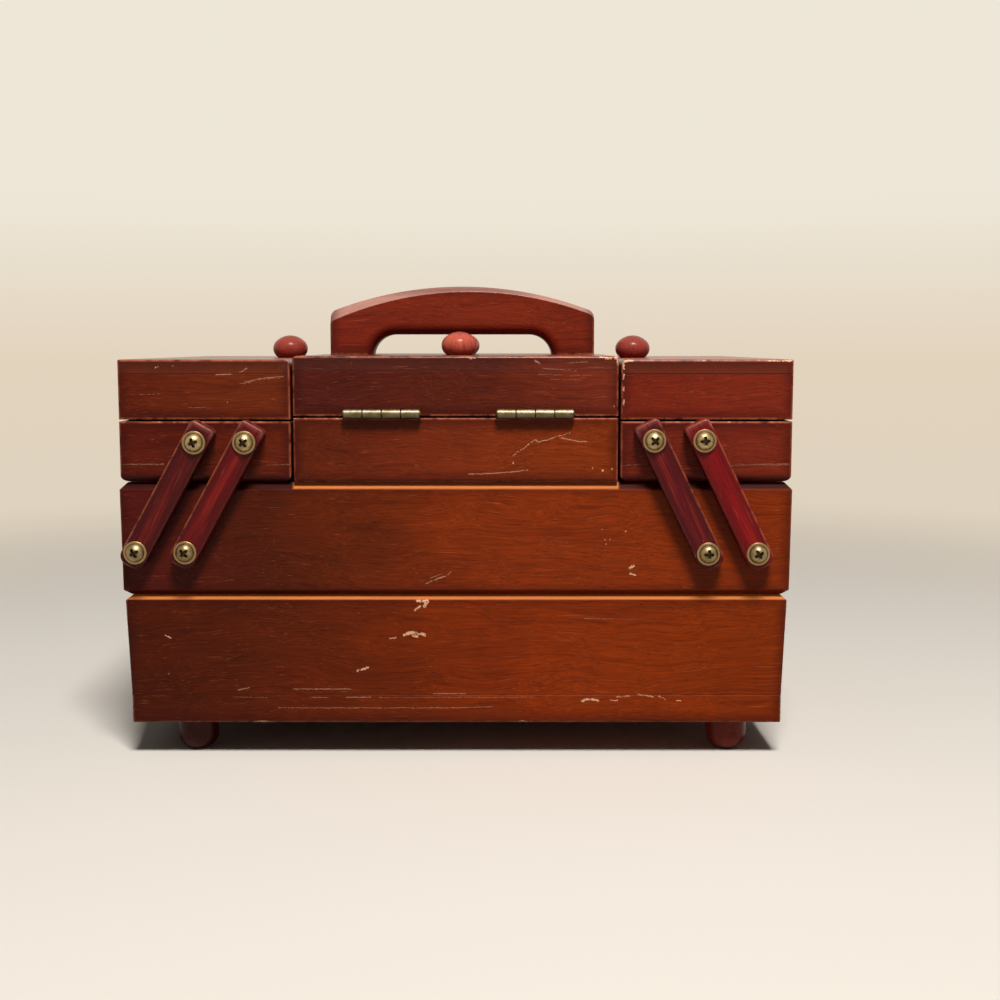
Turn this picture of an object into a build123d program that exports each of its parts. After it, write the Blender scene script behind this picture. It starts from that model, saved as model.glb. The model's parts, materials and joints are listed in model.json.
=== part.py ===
from build123d import *
from math import cos, radians, sin
import os

# A small wooden sewing carrier that folds out: a base tier and a middle tier form one deep
# well, a fixed tower stands on it with a lid to the front and one to the back of the handle,
# and a lidded tray on each side of the tower swings out on eight wooden arms.
# Millimetres. X runs along the carrier, Y from front to back, Z up from the table.

# Plan sizes
depth = 140.0  # front face to back face, the same for every tier
carrier_length = 213.0  # the upper edge of the middle tier, which stands out furthest
base_step = 0.9  # from the middle tier's upper ends in to the base tier's
tray_step = 0.5  # from the middle tier's ends in to the closed trays'
tray_length = 54.1
tray_gap = 0.7  # between a closed tray and the tower
bridge_width = 20.0  # the rail between the two centre lids, front to back
lid_gap = 0.7  # between a centre lid and the rail
base_taper = 1.3  # how far a tier's end boards lean in, from their upper to their lower edge
middle_taper = 0.4

# Heights
foot_height = 11.0
base_height = 41.6
middle_height = 35.9
tower_height = 20.5
tray_height = 19.1
lid_height = 18.8
seat_gap = 0.3  # a closed tray over the rim of the middle tier
seam = 0.6  # a closed lid over the boards below it

# Board thicknesses
carcass_wall = 7.0
tray_wall = 6.0
lid_wall = 6.0
base_floor = 9.0
tray_floor = 5.4
lid_panel = 4.5

# Edges of the boards: how deep into the face, and how far along it
upright_round = 0.9
edge_round = 0.8
edge_break = 0.4
groove_depth = 2.3  # the V groove between tiers
base_groove_rise = 1.8
middle_low_rise = 1.8
middle_high_rise = 2.3
tower_low_round = 1.4
tray_low_round = 2.6
lid_inner_round = 2.2  # the worn edge of a tray's lid, beside the tower
centre_lid_end_round = 1.4

# Folding arms, four on each side of the carrier
arm_centres = 39.5  # pivot to pivot
arm_width = 8.4
arm_thickness = 5.0
arm_top_overhang = 6.1
arm_low_overhang = 5.0
arm_top_round = 1.6
arm_low_round = 3.3
arm_edge_round = 0.7
pair_spacing = 15.6  # between the two arms of a pair
left_pivot_inset = 13.9  # middle of the lower pivots of the left pairs, from the tier's end
left_pivot_rise = 14.5  # over the lower edge of the middle tier
left_lean = 29.0  # inward lean of the closed arms, degrees
right_pivot_inset = 19.4
right_pivot_rise = 14.1
right_lean = 26.0  # degrees
arm_gap = 0.4  # from a board's face to the arm
pivot_clearance = 0.1  # round a pivot screw in its arm

# Pivot screws
head_radius = 3.65
head_ring = 0.6  # height of the ring round the dome
dome_radius = 2.9
dome_height = 1.8
head_gap = 0.25
shank_radius = 1.9
carcass_bite = 6.0  # how far a screw goes into a board
tray_bite = 5.0
recess_width = 1.0
recess_reach = 1.95
recess_depth = 1.1
slot_width = 0.9
carcass_recess_turns = (45, 30, 0, 30)  # degrees, as each screw was driven, from the left
tray_recess_turns = {"left": (40, 20), "right": (45, 5)}  # degrees, the inner arm's screw first
pilot_clearance = 0.05  # round each screw that is driven into wood

# Hinges
hinge_length = 24.0
knuckle_count = 4
knuckle_gap = 0.3
barrel_radius = 1.55
barrel_gap = 0.05  # from the barrel to the faces of the boards
barrel_lift = 1.1  # the barrel's centre over the middle of the seam
pin_radius = 0.7
pin_clearance = 0.05
pin_overhang = 0.5
leaf_thickness = 0.5
leaf_reach = 5.2  # over the board
leaf_seat = 0.15  # how far the fixed leaf is let into the board
leaf_clearance = 0.1  # round a leaf in its mortise
tab_overlap = 0.7  # the moving leaf's tab inside its knuckle
centre_hinge_insets = (28.1, 26.2)  # middle of a hinge from the tower's left and right end
tray_hinge_inset = 33.0  # middle of a hinge from the carrier's front or back face

# Handle
handle_inset = 4.2  # from the tower's ends
handle_thickness = 16.0
handle_rise = 24.1  # at its middle
handle_end_rise = 15.2
handle_shift = 0.5  # it stands a little to the right
handle_corner = 3.0
handle_leg = 14.9  # the width of each leg beside the opening
handle_edge_round = 0.6
bevel_drops = (3.6, 1.8, 1.3)  # the hand-cut bevel's height at the left, the middle and the right
bevel_depth = 2.4
grip_clearance = 7.2  # under the grip
grip_corner = 8.2
grip_edge_round = 3.8
handle_screw_inset = 7.5  # from the ends of the handle

# Knobs, feet and their screws
knob_radius = 6.2
knob_height = 8.0
knob_foot_radius = 4.4
knob_belly = 3.3  # height of the widest place
knob_shoulder = 3.6  # radius of the rounding over the widest place
side_knob_inset = 10.0  # from the lid's inner edge
centre_knob_inset = 45.0  # from the carrier's face
foot_radius = 6.5
foot_round = 5.0
foot_top_round = 0.6
foot_end_insets = (20.2, 17.2)  # middle of a foot from the base's left and right end
foot_face_inset = 11.0  # from the front and back faces
wood_screw_radius = 1.5
wood_screw_head = 2.9
knob_screw_bite = 6.0
foot_screw_bite = 7.0
handle_screw_bite = 11.0

# Levels and places that follow
base_low = foot_height
middle_low = base_low + base_height
rim_level = middle_low + middle_height
tower_top = rim_level + tower_height
tray_low = rim_level + seat_gap
tray_top = tray_low + tray_height
side_lid_low = tray_top + seam
centre_lid_low = tower_top + seam
bridge_top = centre_lid_low + lid_height
base_length = carrier_length - 2 * base_step
top_length = carrier_length - 2 * tray_step  # over both closed trays
tower_length = top_length - 2 * (tray_length + tray_gap)
tray_x = (top_length - tray_length) / 2
centre_lid_depth = (depth - bridge_width) / 2 - lid_gap
centre_lid_y = (depth - centre_lid_depth) / 2
knuckle_length = (hinge_length - (knuckle_count - 1) * knuckle_gap) / knuckle_count
axis_offset = barrel_radius + barrel_gap  # the hinge axis outside the boards' faces
centre_hinge_places = (
    -tower_length / 2 + centre_hinge_insets[0],
    tower_length / 2 - centre_hinge_insets[1],
)
tray_hinge_places = (-depth / 2 + tray_hinge_inset, depth / 2 - tray_hinge_inset)
handle_length = tower_length - 2 * handle_inset
grip_opening = handle_length - 2 * handle_leg
handle_screw_x = handle_length / 2 - handle_screw_inset
foot_places = [
    (x, y)
    for x in (-base_length / 2 + foot_end_insets[0], base_length / 2 - foot_end_insets[1])
    for y in (-depth / 2 + foot_face_inset, depth / 2 - foot_face_inset)
]

ON_FLOOR = (Align.CENTER, Align.CENTER, Align.MIN)
SIDES = {"left": -1, "right": 1}
FACES = {"front": -1, "back": 1}
TURNS = {"front": 0, "right": 90, "back": 180, "left": -90}  # from the front to each outside face
TOUCHING = 1e-3  # nearer than this counts as the same place


def block(length, width, height):
    """A plain block that stands on Z = 0 with its middle over the origin."""
    return Box(length, width, height, align=ON_FLOOR)


def profile(width, height, low, high, taper=0):
    """A board's section with its lower and upper corners cut back.

    low and high are (inward, along) for a chamfer, or one number for a round edge. taper is
    how far each side leans in at its lower end.
    """
    low_width = width - 2 * taper
    section = Rectangle(width, height, align=(Align.CENTER, Align.MIN))
    if taper:
        for half, low_half in ((width / 2, low_width / 2), (-width / 2, -low_width / 2)):
            section -= Polygon((half, height), (half, 0), (low_half, 0), align=None)
    for edge, level, up, wide in ((low, 0, 1, low_width), (high, height, -1, width)):
        if isinstance(edge, tuple):
            inward, along = edge
            for side in (-1, 1):
                corner = (side * wide / 2, level)
                inner = (side * (wide / 2 - inward), level)
                outer = (side * (wide / 2 + up * taper * along / height), level + up * along)
                section -= Polygon(corner, inner, outer, align=None)
        else:
            ends = section.vertices().filter_by(lambda v: abs(v.Y - level) < TOUCHING)
            section = fillet(ends, edge)
    return section


def shaped_block(length, width, height, low, high, taper=0):
    """A block whose lower and upper edges are treated alike on all four sides.

    length is that of its upper face, and taper is how far each end leans in below it.
    """
    if taper:
        lower = RectangleRounded(length - 2 * taper, width, upright_round)
        upper = Pos(0, 0, height) * RectangleRounded(length, width, upright_round)
        plan = loft([lower, upper], ruled=True)
    else:
        plan = extrude(RectangleRounded(length, width, upright_round), height)
    along_x = Plane.YZ * profile(width, height, low, high)
    along_y = Plane.XZ * profile(length, height, low, high, taper)
    return plan & extrude(along_x, length, both=True) & extrude(along_y, width, both=True)


def ring_boards(outer, length, width, height, wall):
    """Cuts a shaped block into the front, back and two end boards of a frame."""
    inside = width - 2 * wall
    frame = outer - block(length - 2 * wall, inside, height)
    reach = 2 * (length + width)
    beyond = Pos(0, (inside + reach) / 2, 0) * Box(reach, reach, reach)
    back = frame & beyond
    front = frame & mirror(beyond, about=Plane.XZ)
    ends = frame & Box(reach, inside, reach)
    return front, back, ends


def split_ends(ends):
    """The left and the right board of a pair."""
    boards = ends.solids().sort_by(Axis.X)
    return boards[0], boards[1]


def upright_hole(radius, length):
    """A round hole along Z that starts at the origin and goes down."""
    return Cylinder(radius, length, align=(Align.CENTER, Align.CENTER, Align.MAX))


# Screws


def pivot_screw(bite, turn):
    """A pan head screw along Y, entering a front face at the origin and pointing back.

    turn is how far its cross recess stands from upright, in degrees.
    """
    under_head = arm_gap + arm_thickness + head_gap
    ring = Cylinder(head_radius, head_ring, align=ON_FLOOR)
    ring = chamfer(ring.edges().sort_by(Axis.Z)[-1], head_ring / 3)
    cap_sphere = (dome_radius**2 + dome_height**2) / (2 * dome_height)
    cap = Pos(0, 0, head_ring + dome_height - cap_sphere) * Sphere(cap_sphere)
    cap &= Pos(0, 0, head_ring / 2) * Cylinder(dome_radius, dome_height * 2, align=ON_FLOOR)
    head = ring + cap
    top = head_ring + dome_height
    slot = Rectangle(2 * recess_reach, recess_width)
    floor = Rectangle(recess_reach, recess_width / 2)
    arm_of_cross = loft([Pos(0, 0, top) * slot, Pos(0, 0, top - recess_depth) * floor])
    for cutter in (arm_of_cross, Rot(0, 0, 90) * arm_of_cross):
        head -= Rot(0, 0, turn) * cutter
    shank = Pos(0, 0, -under_head - bite) * Cylinder(shank_radius, under_head + bite, align=ON_FLOOR)
    return Pos(0, -under_head, 0) * Rot(90, 0, 0) * (head + shank)


def wood_screw(length):
    """A countersunk screw whose flat head is at the origin and whose shank points down."""
    sink = wood_screw_head - wood_screw_radius
    head = Pos(0, 0, -sink) * Cone(wood_screw_radius, wood_screw_head, sink, align=ON_FLOOR)
    shank = Pos(0, 0, -length) * Cylinder(wood_screw_radius, length, align=ON_FLOOR)
    slot = Box(2 * wood_screw_head, slot_width, slot_width)
    return head + shank - slot


def wood_screw_hole(length):
    """The countersunk hole for a wood screw, with its own clearance."""
    wide = wood_screw_head + pilot_clearance
    narrow = wood_screw_radius + pilot_clearance
    sink = wide - narrow
    return Pos(0, 0, -sink) * Cone(narrow, wide, sink, align=ON_FLOOR) + upright_hole(narrow, length)


def turned_over(piece):
    """The same piece pointing up in place of down."""
    return Rot(180, 0, 0) * piece


# Turned wood


def knob():
    """A flattened ball on a narrower foot, drilled from below.

    Its outline is one arc below the widest place, and a shoulder arc and a flatter crown arc
    above it, each tangent to the next.
    """
    widest = (knob_radius, knob_belly)
    rise = knob_height - knob_belly
    inset = knob_radius - knob_shoulder
    crown = (inset**2 + rise**2 - knob_shoulder**2) / (2 * (rise - knob_shoulder))
    share = crown / (crown - knob_shoulder)
    meeting = (inset * share, knob_height - crown + (crown - rise) * share)
    low = TangentArc(widest, (knob_foot_radius, 0), tangent=(0, -1))
    shoulder = TangentArc(widest, meeting, tangent=(0, 1))
    top = TangentArc((0, knob_height), meeting, tangent=(1, 0))
    outline = low + shoulder + top + Polyline((0, knob_height), (0, 0), (knob_foot_radius, 0))
    ball = revolve(Plane.XZ * make_face(outline), Axis.Z)
    pilot = wood_screw_radius + pilot_clearance
    return ball - turned_over(upright_hole(pilot, knob_screw_bite))


def foot():
    """A short peg with a heavily rounded lower end, drilled from above."""
    peg = Cylinder(foot_radius, foot_height, align=ON_FLOOR)
    peg = fillet(peg.edges().sort_by(Axis.Z)[0], foot_round)
    peg = fillet(peg.edges().sort_by(Axis.Z)[-1], foot_top_round)
    pilot = wood_screw_radius + pilot_clearance
    return peg - Pos(0, 0, foot_height) * upright_hole(pilot, foot_screw_bite)


# Hinges


def knuckles(moving):
    """The barrel pieces of one leaf, along X about the origin."""
    pieces = []
    for number in range(knuckle_count):
        if number % 2 == int(moving):
            start = -hinge_length / 2 + number * (knuckle_length + knuckle_gap)
            piece = Rot(0, 90, 0) * Cylinder(barrel_radius, knuckle_length, align=ON_FLOOR)
            pieces.append(Pos(start, 0, 0) * piece)
    return pieces


def hinge_leaf(moving):
    """One leaf: the board's face is on +Y, the seam below the barrel's centre."""
    if moving:
        low = -barrel_lift + seam / 2
        tab_start = axis_offset - tab_overlap
    else:
        low = -barrel_lift - seam / 2 - leaf_seat
        tab_start = 0
    corner = (Align.CENTER, Align.MIN, Align.MIN)
    leaf = Pos(0, axis_offset, low) * Box(hinge_length, leaf_reach, leaf_thickness, align=corner)
    for piece in knuckles(moving):
        middle = piece.center().X
        tab = Box(knuckle_length, axis_offset - tab_start, leaf_thickness, align=corner)
        leaf += piece + Pos(middle, tab_start, low) * tab
    bore = pin_radius + (pin_clearance if moving else 0)
    return leaf - Rot(0, 90, 0) * Cylinder(bore, 2 * hinge_length)


def hinge_pin():
    """The pin with its two rounded ends."""
    pin = Cylinder(pin_radius, hinge_length + 2 * pin_overhang)
    return Rot(0, 90, 0) * fillet(pin.edges(), pin_overhang)


def leaf_mortise(moving):
    """The shallow pocket that a leaf lies in, cut out of the board's edge."""
    reach = leaf_reach + leaf_clearance
    length = hinge_length + 2 * leaf_clearance
    if moving:
        low = -barrel_lift + seam / 2
        height = leaf_thickness
    else:
        low = -barrel_lift - seam / 2 - leaf_seat
        height = leaf_seat
    corner = (Align.CENTER, Align.MIN, Align.MIN)
    return Pos(0, axis_offset, low) * Box(length, reach, height, align=corner)


def at_hinges(piece, face, level):
    """Copies of a piece at the two hinges of an outside face, over the boards' level."""
    height = level + seam / 2 + barrel_lift
    if face in FACES:
        edge = depth / 2
        spots = [Pos(place, 0, height) for place in centre_hinge_places]
    else:
        edge = top_length / 2
        spots = [Pos(0, place, height) for place in tray_hinge_places]
    facing = Rot(0, 0, TURNS[face]) * Pos(0, -edge - axis_offset, 0)
    return [spot * facing * piece for spot in spots]


# Fixed carcass


def pivot_points(side):
    """Lower and upper pivot places (x, z) of the two arms of a pair, inner arm first."""
    if side < 0:
        inset, low_rise, lean = left_pivot_inset, left_pivot_rise, left_lean
    else:
        inset, low_rise, lean = right_pivot_inset, right_pivot_rise, right_lean
    middle_x = side * (carrier_length / 2 - inset)
    low_z = middle_low + low_rise
    rise = arm_centres * cos(radians(lean))
    run = arm_centres * sin(radians(lean))
    pairs = []
    for step in (-0.5, 0.5):
        low_x = middle_x + side * step * pair_spacing
        pairs.append(((low_x, low_z), (low_x - side * run, low_z + rise)))
    return pairs


def pivot_holes(points, bite):
    """Pilot holes for pivot screws in the front and back boards."""
    radius = shank_radius + pilot_clearance
    rod = Rot(90, 0, 0) * Cylinder(radius, 2 * bite)
    return [Pos(x, face * depth / 2, z) * rod for x, z in points for face in FACES.values()]


def pivot_screws(points, bite, turns):
    """A pivot screw at each point on the front, and one on the back."""
    screws = []
    for (x, z), turn in zip(points, turns):
        front = Pos(0, -depth / 2, 0) * pivot_screw(bite, turn)
        screws += [Pos(x, 0, z) * front, Pos(x, 0, z) * Rot(0, 0, 180) * front]
    return screws


def base_tier():
    """The bottom board and the four boards that stand on it."""
    groove = (groove_depth, base_groove_rise)
    wall_height = base_height - base_floor
    floor_length = base_length - 2 * base_taper
    floor = shaped_block(floor_length, depth, base_floor, edge_round, edge_break / 2)
    floor = Pos(0, 0, base_low) * floor
    for x, y in foot_places:
        floor -= Pos(x, y, base_low + base_floor) * wood_screw_hole(base_floor)
    outer = shaped_block(base_length, depth, wall_height, edge_break / 2, groove, base_taper)
    front, back, ends = ring_boards(outer, base_length, depth, wall_height, carcass_wall)
    lift = Pos(0, 0, base_low + base_floor)
    return {
        "base_bottom_board": floor,
        "base_front_board": lift * front,
        "base_back_board": lift * back,
        "base_end_boards": lift * ends,
    }


def middle_tier():
    """Four boards on the base tier, drilled for the lower pivots."""
    low = (groove_depth, middle_low_rise)
    high = (groove_depth, middle_high_rise)
    outer = shaped_block(carrier_length, depth, middle_height, low, high, middle_taper)
    front, back, ends = ring_boards(outer, carrier_length, depth, middle_height, carcass_wall)
    lift = Pos(0, 0, middle_low)
    front = lift * front
    back = lift * back
    points = [low for side in SIDES.values() for low, high in pivot_points(side)]
    for hole in pivot_holes(points, carcass_bite):
        front -= hole
        back -= hole
    return {
        "middle_front_board": front,
        "middle_back_board": back,
        "middle_end_boards": lift * ends,
    }


def tower():
    """The fixed frame between the trays, and the rail that the handle stands on."""
    outer = shaped_block(tower_length, depth, tower_height, tower_low_round, edge_break)
    front, back, ends = ring_boards(outer, tower_length, depth, tower_height, carcass_wall)
    lift = Pos(0, 0, rim_level)
    boards = {"tower_front_board": lift * front, "tower_back_board": lift * back}
    for face in FACES:
        for pocket in at_hinges(leaf_mortise(False), face, tower_top):
            boards[f"tower_{face}_board"] -= pocket
    rail = shaped_block(tower_length, bridge_width, bridge_top - tower_top, edge_break, edge_break)
    rail = Pos(0, 0, tower_top) * rail
    for x in handle_screw_places():
        rail -= Pos(x, 0, tower_top) * turned_over(wood_screw_hole(bridge_top - tower_top))
    boards["tower_end_boards"] = lift * ends
    boards["handle_bridge"] = rail
    return boards


def handle_screw_places():
    """X of the two screws that hold the handle."""
    return [handle_shift - handle_screw_x, handle_shift + handle_screw_x]


def arch(drops):
    """The handle's outline, with its top lowered at the left end, the middle and the right end."""
    half = handle_length / 2
    left = (-half, handle_end_rise - drops[0])
    right = (half, handle_end_rise - drops[2])
    top = ThreePointArc(left, (0, handle_rise - drops[1]), right)
    outline = make_face(top + Polyline(right, (half, 0), (-half, 0), left))
    shoulders = outline.vertices().filter_by(lambda v: v.Y > TOUCHING)
    return fillet(shoulders, handle_corner)


def rims(body, reach, height):
    """The edges of a body's front and back faces, as those round the opening and the others."""
    edges = body.faces().filter_by(Axis.Y).edges().filter_by(lambda e: e.center().Z > TOUCHING)
    inner = edges.filter_by(lambda e: abs(e.center().X) < reach and e.center().Z < height)
    return inner, edges.filter_by(lambda e: e not in inner)


def handle():
    """A flat arch with a bevelled top edge, and an opening with wide rounded edges."""
    face_y = handle_thickness / 2
    upright = face_y - bevel_depth
    sections = [Plane.XZ.offset(upright) * arch((0, 0, 0)), Plane.XZ.offset(face_y) * arch(bevel_drops)]
    front = loft(sections, ruled=True)
    body = extrude(Plane.XZ * arch((0, 0, 0)), upright, both=True) + front + mirror(front, about=Plane.XZ)
    opening = Pos(0, grip_clearance) * RectangleRounded(
        grip_opening, 3 * grip_corner, grip_corner, align=(Align.CENTER, Align.MAX)
    )
    body -= extrude(Plane.XZ * opening, face_y, both=True)
    reach = grip_opening / 2 + TOUCHING
    height = grip_clearance + TOUCHING
    body = fillet(rims(body, reach, height)[0], grip_edge_round)
    body = fillet(rims(body, reach + grip_edge_round, height + grip_edge_round)[1], handle_edge_round)
    pilot = wood_screw_radius + pilot_clearance
    for x in (-handle_screw_x, handle_screw_x):
        body -= Pos(x, 0, 0) * turned_over(upright_hole(pilot, handle_screw_bite))
    return Pos(handle_shift, 0, bridge_top) * body


def carcass():
    """Everything that stays with the base when the carrier opens."""
    nodes = base_tier() | middle_tier() | tower()
    nodes["handle"] = handle()
    long_screw = wood_screw(bridge_top - tower_top + handle_screw_bite - pilot_clearance)
    nodes["handle_screws"] = [Pos(x, 0, tower_top) * turned_over(long_screw) for x in handle_screw_places()]
    nodes["feet"] = [Pos(x, y, 0) * foot() for x, y in foot_places]
    short_screw = wood_screw(base_floor + foot_screw_bite - pilot_clearance)
    top = base_low + base_floor
    nodes["foot_screws"] = [Pos(x, y, top) * short_screw for x, y in foot_places]
    points = [low for side in SIDES.values() for low, high in pivot_points(side)]
    bite = carcass_bite - pilot_clearance
    nodes["lower_pivot_screws"] = pivot_screws(points, bite, carcass_recess_turns)
    leaves = []
    for face in FACES:
        for piece in (hinge_leaf(False), hinge_pin()):
            leaves += at_hinges(piece, face, tower_top)
    nodes["centre_hinge_leaves_and_pins"] = leaves
    return nodes


# Folding trays


def arm():
    """One arm along Z from its lower pivot at the origin, its inner face on Y = 0."""
    length = arm_low_overhang + arm_centres + arm_top_overhang
    bar = Pos(0, -arm_low_overhang) * Rectangle(arm_width, length, align=(Align.CENTER, Align.MIN))
    bar = fillet(bar.vertices().group_by(Axis.Y)[0], arm_low_round)
    bar = fillet(bar.vertices().group_by(Axis.Y)[-1], arm_top_round)
    piece = extrude(Plane.XZ * bar, arm_thickness)
    piece = fillet(piece.faces().sort_by(Axis.Y)[0].edges(), arm_edge_round)
    bore = Rot(90, 0, 0) * Cylinder(shank_radius + pivot_clearance, 3 * arm_thickness)
    return piece - bore - Pos(0, 0, arm_centres) * bore


def arms(side, side_name):
    """The four arms of one side at rest, leaning in towards the tower."""
    lean = left_lean if side < 0 else right_lean
    front = Pos(0, -depth / 2 - arm_gap, 0) * Rot(0, -side * lean, 0) * arm()
    back = mirror(front, about=Plane.XZ)
    nodes = {}
    for place, (low, high) in zip(("inner", "outer"), pivot_points(side)):
        spot = Pos(low[0], 0, low[1])
        nodes[f"{side_name}_front_{place}_arm"] = spot * front
        nodes[f"{side_name}_back_{place}_arm"] = spot * back
    return nodes


def tray(side, side_name):
    """One tray: a bottom board, four boards on it, upper pivot screws and hinge leaves."""
    wall_height = tray_height - tray_floor
    floor = shaped_block(tray_length, depth, tray_floor, tray_low_round, edge_break / 2)
    outer = shaped_block(tray_length, depth, wall_height, edge_break / 2, edge_break)
    front, back, ends = ring_boards(outer, tray_length, depth, wall_height, tray_wall)
    lift = Pos(side * tray_x, 0, tray_low + tray_floor)
    front = lift * front
    back = lift * back
    points = [high for low, high in pivot_points(side)]
    for hole in pivot_holes(points, tray_bite):
        front -= hole
        back -= hole
    inner_end, outer_end = split_ends(ends)[::side]
    outer_end = lift * outer_end
    for pocket in at_hinges(leaf_mortise(False), side_name, tray_top):
        outer_end -= pocket
    leaves = []
    for piece in (hinge_leaf(False), hinge_pin()):
        leaves += at_hinges(piece, side_name, tray_top)
    bite = tray_bite - pilot_clearance
    return {
        f"{side_name}_tray_bottom_board": Pos(side * tray_x, 0, tray_low) * floor,
        f"{side_name}_tray_front_board": front,
        f"{side_name}_tray_back_board": back,
        f"{side_name}_tray_inner_board": lift * inner_end,
        f"{side_name}_tray_outer_board": outer_end,
        f"{side_name}_tray_pivot_screws": pivot_screws(points, bite, tray_recess_turns[side_name]),
        f"{side_name}_tray_hinge_leaves_and_pins": leaves,
    }


# Lids


def lid(face, length, width, middle, level, knob_place, end_rounds):
    """The lid hinged at one outside face of the carrier.

    It has a top panel, a rim of four boards, a knob with its screw, and hinge leaves.
    end_rounds are the roundings of the panel's left and right upper edge.
    """
    rim_height = lid_height - lid_panel
    spot = Pos(middle[0], middle[1], level)
    panel = shaped_block(length, width, lid_panel, edge_break / 2, edge_round)
    for end, radius in zip(SIDES.values(), end_rounds):
        corner = profile(2 * length, lid_panel, edge_break / 2, radius)
        panel &= extrude(Plane.XZ * Pos(-end * length / 2, 0) * corner, width, both=True)
    outer = shaped_block(length, width, rim_height, edge_break, edge_break / 2)
    front, back, ends = ring_boards(outer, length, width, rim_height, lid_wall)
    boards = [spot * board for board in (front, back, *split_ends(ends))]
    for pocket in at_hinges(leaf_mortise(True), face, level - seam):
        boards = [board - pocket for board in boards]
    panel = spot * Pos(0, 0, rim_height) * panel
    x, y = knob_place
    under_panel = level + rim_height
    panel -= Pos(x, y, under_panel) * turned_over(wood_screw_hole(lid_panel))
    screw = turned_over(wood_screw(lid_panel + knob_screw_bite - pilot_clearance))
    return {
        f"{face}_lid_panel": panel,
        f"{face}_lid_rim_boards": boards,
        f"{face}_lid_knob": Pos(x, y, level + lid_height) * knob(),
        f"{face}_lid_knob_screw": Pos(x, y, under_panel) * screw,
        f"{face}_lid_hinge_leaves": at_hinges(hinge_leaf(True), face, level - seam),
    }


def lids():
    """The two tray lids and the two centre lids."""
    nodes = {}
    for side_name, side in SIDES.items():
        middle = (side * tray_x, 0)
        knob_place = (side * (top_length / 2 - tray_length + side_knob_inset), 0)
        rounds = (edge_round, lid_inner_round)[::-side]
        nodes |= lid(side_name, tray_length, depth, middle, side_lid_low, knob_place, rounds)
    for face_name, face in FACES.items():
        middle = (0, face * centre_lid_y)
        knob_place = (0, face * (depth / 2 - centre_knob_inset))
        rounds = (centre_lid_end_round, centre_lid_end_round)
        nodes |= lid(
            face_name, tower_length, centre_lid_depth, middle, centre_lid_low, knob_place, rounds
        )
    return nodes


def write(nodes):
    """One STEP file for each node."""
    for name, shape in nodes.items():
        pieces = shape if isinstance(shape, list) else list(shape.solids())
        solids = [solid for piece in pieces for solid in piece.solids()]
        whole = solids[0] if len(solids) == 1 else Compound(solids)
        export_step(whole, f"parts/{name}.step")
        print(name, len(solids), round(sum(solid.volume for solid in solids), 2))


os.makedirs("parts", exist_ok=True)
everything = carcass() | lids()
for side_name, side in SIDES.items():
    everything |= arms(side, side_name) | tray(side, side_name)
write(everything)
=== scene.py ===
import json
from math import cos, pi, radians, sin

import bpy
import numpy as np
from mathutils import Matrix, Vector


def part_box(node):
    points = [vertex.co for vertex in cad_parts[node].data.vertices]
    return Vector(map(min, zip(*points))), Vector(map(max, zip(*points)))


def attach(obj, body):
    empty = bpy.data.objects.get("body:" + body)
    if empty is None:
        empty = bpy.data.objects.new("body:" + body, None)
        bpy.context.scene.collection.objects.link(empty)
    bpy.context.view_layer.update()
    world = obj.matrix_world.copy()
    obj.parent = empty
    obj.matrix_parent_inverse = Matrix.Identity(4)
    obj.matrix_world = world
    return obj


# A small wooden sewing carrier on a pale cove: its stained wood, worn edges, scratches and
# brass, and the little screws of its hinges. Object coordinates are metres, and the finishes
# work in millimetres: X along the carrier, Y from front to back, Z up from the floor.

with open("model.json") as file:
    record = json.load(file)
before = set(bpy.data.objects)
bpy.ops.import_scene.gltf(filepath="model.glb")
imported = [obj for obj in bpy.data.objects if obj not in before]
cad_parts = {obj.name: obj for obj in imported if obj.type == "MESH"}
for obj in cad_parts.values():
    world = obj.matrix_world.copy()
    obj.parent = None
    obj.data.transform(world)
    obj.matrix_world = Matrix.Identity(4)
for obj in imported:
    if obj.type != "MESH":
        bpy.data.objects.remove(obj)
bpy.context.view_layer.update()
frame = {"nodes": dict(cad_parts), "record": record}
JOINTS = {
    joint["name"]: [1000 * value for value in joint["pos_m"]]
    for joint in frame["record"]["behaviour"]["joints"]
}

# the carrier's sizes
FRONT = -70.0  # the front faces of the boards
TRAY_END = 106.0  # from the middle to a tray's outer face
CARCASS_WALL = 7.0
TRAY_WALL = 6.0
BASE_GROOVE = (50.4, 52.8, 120)  # lower and upper level, and how far from the middle it is rubbed
MIDDLE_GROOVE = (85.9, 88.7, 51.6)
UNSEEN = 20.0  # past a joint between boards, where no worn edge shows

ARM_LENGTH = 39.5  # pivot to pivot
ARM_LEANS = {"left": 29, "right": -26}  # degrees from upright, towards the right
ARM_HALF_WIDTH = 4.2
ARM_ENDS = (-5.0, 45.6)  # along an arm, from its lower pivot
ARM_FACES = (70.4, 75.4)  # from the middle of the depth
DOME_RADIUS = 3.236  # of the ball that a pivot screw's dome is part of
DOME_MIDDLE = 74.814  # of that ball, from the middle of the depth

HINGE_LENGTH = 24.0
KNUCKLE = 6.0
LEAF_GAP = 0.25  # between the faces of a closed hinge's leaves
SCREW_STEP = 8.2  # from a hinge's middle to its screws
SCREW_INSET = 2.8  # from a board's face to them

# light and colour
FRONT_LIGHT = 0.80  # how brightly a white board would show on the front
SHEEN = 0.0035  # what the varnish adds there of its own


def tone(red, green, blue):
    """A stain's colour, written as it shows on a front face (0 to 255)."""
    srgb = np.array((red, green, blue)) / 255
    linear = np.where(srgb <= 0.04045, srgb / 12.92, ((srgb + 0.055) / 1.055) ** 2.4)
    return (*np.clip((linear - SHEEN) / FRONT_LIGHT, 0.0008, 0.9).tolist(), 1.0)


# Shader sums


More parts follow.
